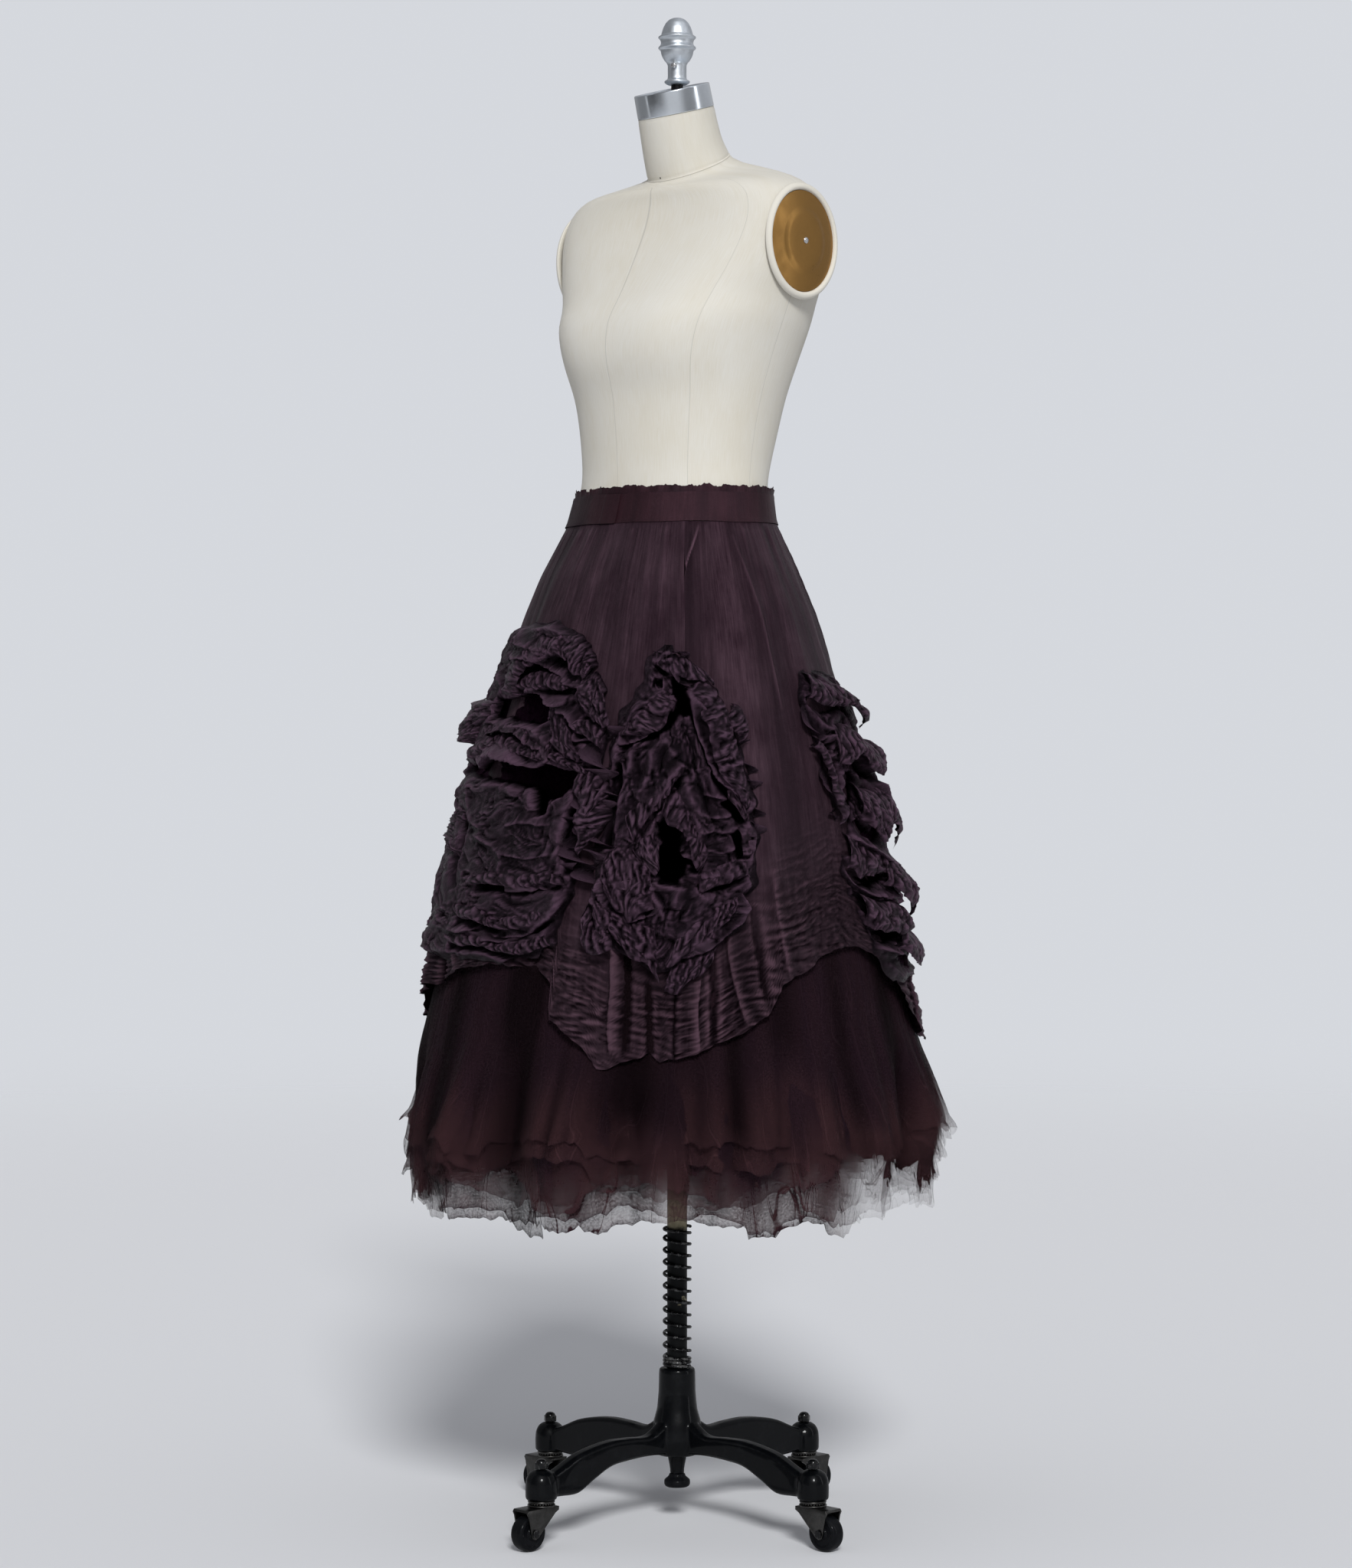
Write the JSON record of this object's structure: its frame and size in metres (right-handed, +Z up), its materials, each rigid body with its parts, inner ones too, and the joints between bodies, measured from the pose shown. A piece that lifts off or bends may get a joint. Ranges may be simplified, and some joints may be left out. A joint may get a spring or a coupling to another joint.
{
  "type": "tulle skirt on a dress form",
  "caption": "Full-length layered tulle skirt with a ruched overskirt, on a limbless dress form with a cap and finial, a sliding column and a four-legged caster base.",
  "frame": {"origin": "on the floor under the column's axis, at the middle of the caster base", "axes": "+Z up along the column; the form and the skirt's front face -Y; the wearer's left is +X"},
  "size_m": [0.6386, 0.6224, 1.7265],
  "materials": {
    "waistband_ribbon": "reddish brown ribbon with a raw edge",
    "overskirt_cloth": "dark plum brown cloth, softly creased",
    "ruched_cloth": "dark plum brown cloth, crumpled and ruched",
    "tulle_net": "sheer dark plum net",
    "form_linen": "cream linen, matt",
    "form_board": "plain wood board",
    "cap_aluminium": "spun and brushed",
    "finial_aluminium": "satin casting",
    "bright_steel": "bright",
    "plate_brass": "aged, mottled",
    "column_brass": "aged, dull",
    "painted_iron": "black paint, chipped",
    "black_steel": "gloss black",
    "caster_steel": "worn black",
    "wheel_rubber": "dark grey, matt"
  },
  "bodies": {
    "base": {"column_tube": "column_brass", "column_clamp": "painted_iron", "column_clamp_screw": "painted_iron", "column_spring": "black_steel", "base_casting": "painted_iron", "foot_stem": "painted_iron", "foot_pad": "wheel_rubber", "foot_spring": "bright_steel", "caster_nut_left": "bright_steel", "caster_race_left": "caster_steel", "caster_nut_back": "bright_steel", "caster_race_back": "caster_steel", "caster_nut_right": "bright_steel", "caster_race_right": "caster_steel", "caster_nut_front": "bright_steel", "caster_race_front": "caster_steel"},
    "height_rod": {"height_rod": "column_brass"},
    "form": {"waistband": "waistband_ribbon", "waistband_frayed_edge": "waistband_ribbon", "tulle_tier_upper": "tulle_net", "tulle_tier_middle": "tulle_net", "form_torso": "form_linen", "form_neck": "form_linen", "form_bottom_board": "form_board", "neck_cap": "cap_aluminium", "finial": "finial_aluminium", "finial_thumbscrew": "bright_steel", "arm_plate_left": "plate_brass", "arm_plate_right": "plate_brass", "arm_plate_screw_left": "bright_steel", "arm_plate_screw_right": "bright_steel", "overskirt_gore_left": "overskirt_cloth", "tulle_tier_lower_left": "tulle_net", "overskirt_gore_back": "overskirt_cloth", "tulle_tier_lower_back": "tulle_net", "overskirt_gore_right": "overskirt_cloth", "tulle_tier_lower_right": "tulle_net", "overskirt_gore_front": "overskirt_cloth", "tulle_tier_lower_front": "tulle_net", "ruched_cluster_front": "ruched_cloth", "ruched_cluster_front_left": "ruched_cloth", "ruched_cluster_left": "ruched_cloth", "ruched_cluster_back_left": "ruched_cloth", "ruched_cluster_back_right": "ruched_cloth", "ruched_cluster_right": "ruched_cloth"},
    "caster_left": {"caster_fork_left": "caster_steel", "caster_axle_left": "bright_steel"},
    "wheel_left": {"caster_wheel_left": "wheel_rubber"},
    "caster_back": {"caster_fork_back": "caster_steel", "caster_axle_back": "bright_steel"},
    "wheel_back": {"caster_wheel_back": "wheel_rubber"},
    "caster_right": {"caster_fork_right": "caster_steel", "caster_axle_right": "bright_steel"},
    "wheel_right": {"caster_wheel_right": "wheel_rubber"},
    "caster_front": {"caster_fork_front": "caster_steel", "caster_axle_front": "bright_steel"},
    "wheel_front": {"caster_wheel_front": "wheel_rubber"}
  },
  "joints": [
    {"name": "column_height", "type": "slide", "parent": "base", "child": "height_rod", "axis": [0, 0, 1], "range_m": [-0.15, 0.15]},
    {"name": "form_turn", "type": "hinge", "parent": "height_rod", "child": "form", "pos_m": [0, 0, 0.85], "axis": [0, 0, 1], "continuous": true},
    {"name": "caster_swivel_left", "type": "hinge", "parent": "base", "child": "caster_left", "pos_m": [0.2136, 0, 0.047], "axis": [0, 0, 1], "continuous": true},
    {"name": "wheel_spin_left", "type": "hinge", "parent": "caster_left", "child": "wheel_left", "pos_m": [0.2336, 0, 0.02011], "axis": [0, 1, 0], "continuous": true},
    {"name": "caster_swivel_back", "type": "hinge", "parent": "base", "child": "caster_back", "pos_m": [0, 0.2136, 0.047], "axis": [0, 0, 1], "continuous": true},
    {"name": "wheel_spin_back", "type": "hinge", "parent": "caster_back", "child": "wheel_back", "pos_m": [0, 0.2336, 0.02011], "axis": [-1, 0, 0], "continuous": true},
    {"name": "caster_swivel_right", "type": "hinge", "parent": "base", "child": "caster_right", "pos_m": [-0.2136, 0, 0.047], "axis": [0, 0, 1], "continuous": true},
    {"name": "wheel_spin_right", "type": "hinge", "parent": "caster_right", "child": "wheel_right", "pos_m": [-0.2336, 0, 0.02011], "axis": [0, -1, 0], "continuous": true},
    {"name": "caster_swivel_front", "type": "hinge", "parent": "base", "child": "caster_front", "pos_m": [0, -0.2136, 0.047], "axis": [0, 0, 1], "continuous": true},
    {"name": "wheel_spin_front", "type": "hinge", "parent": "caster_front", "child": "wheel_front", "pos_m": [0, -0.2336, 0.02011], "axis": [1, 0, 0], "continuous": true}
  ]
}
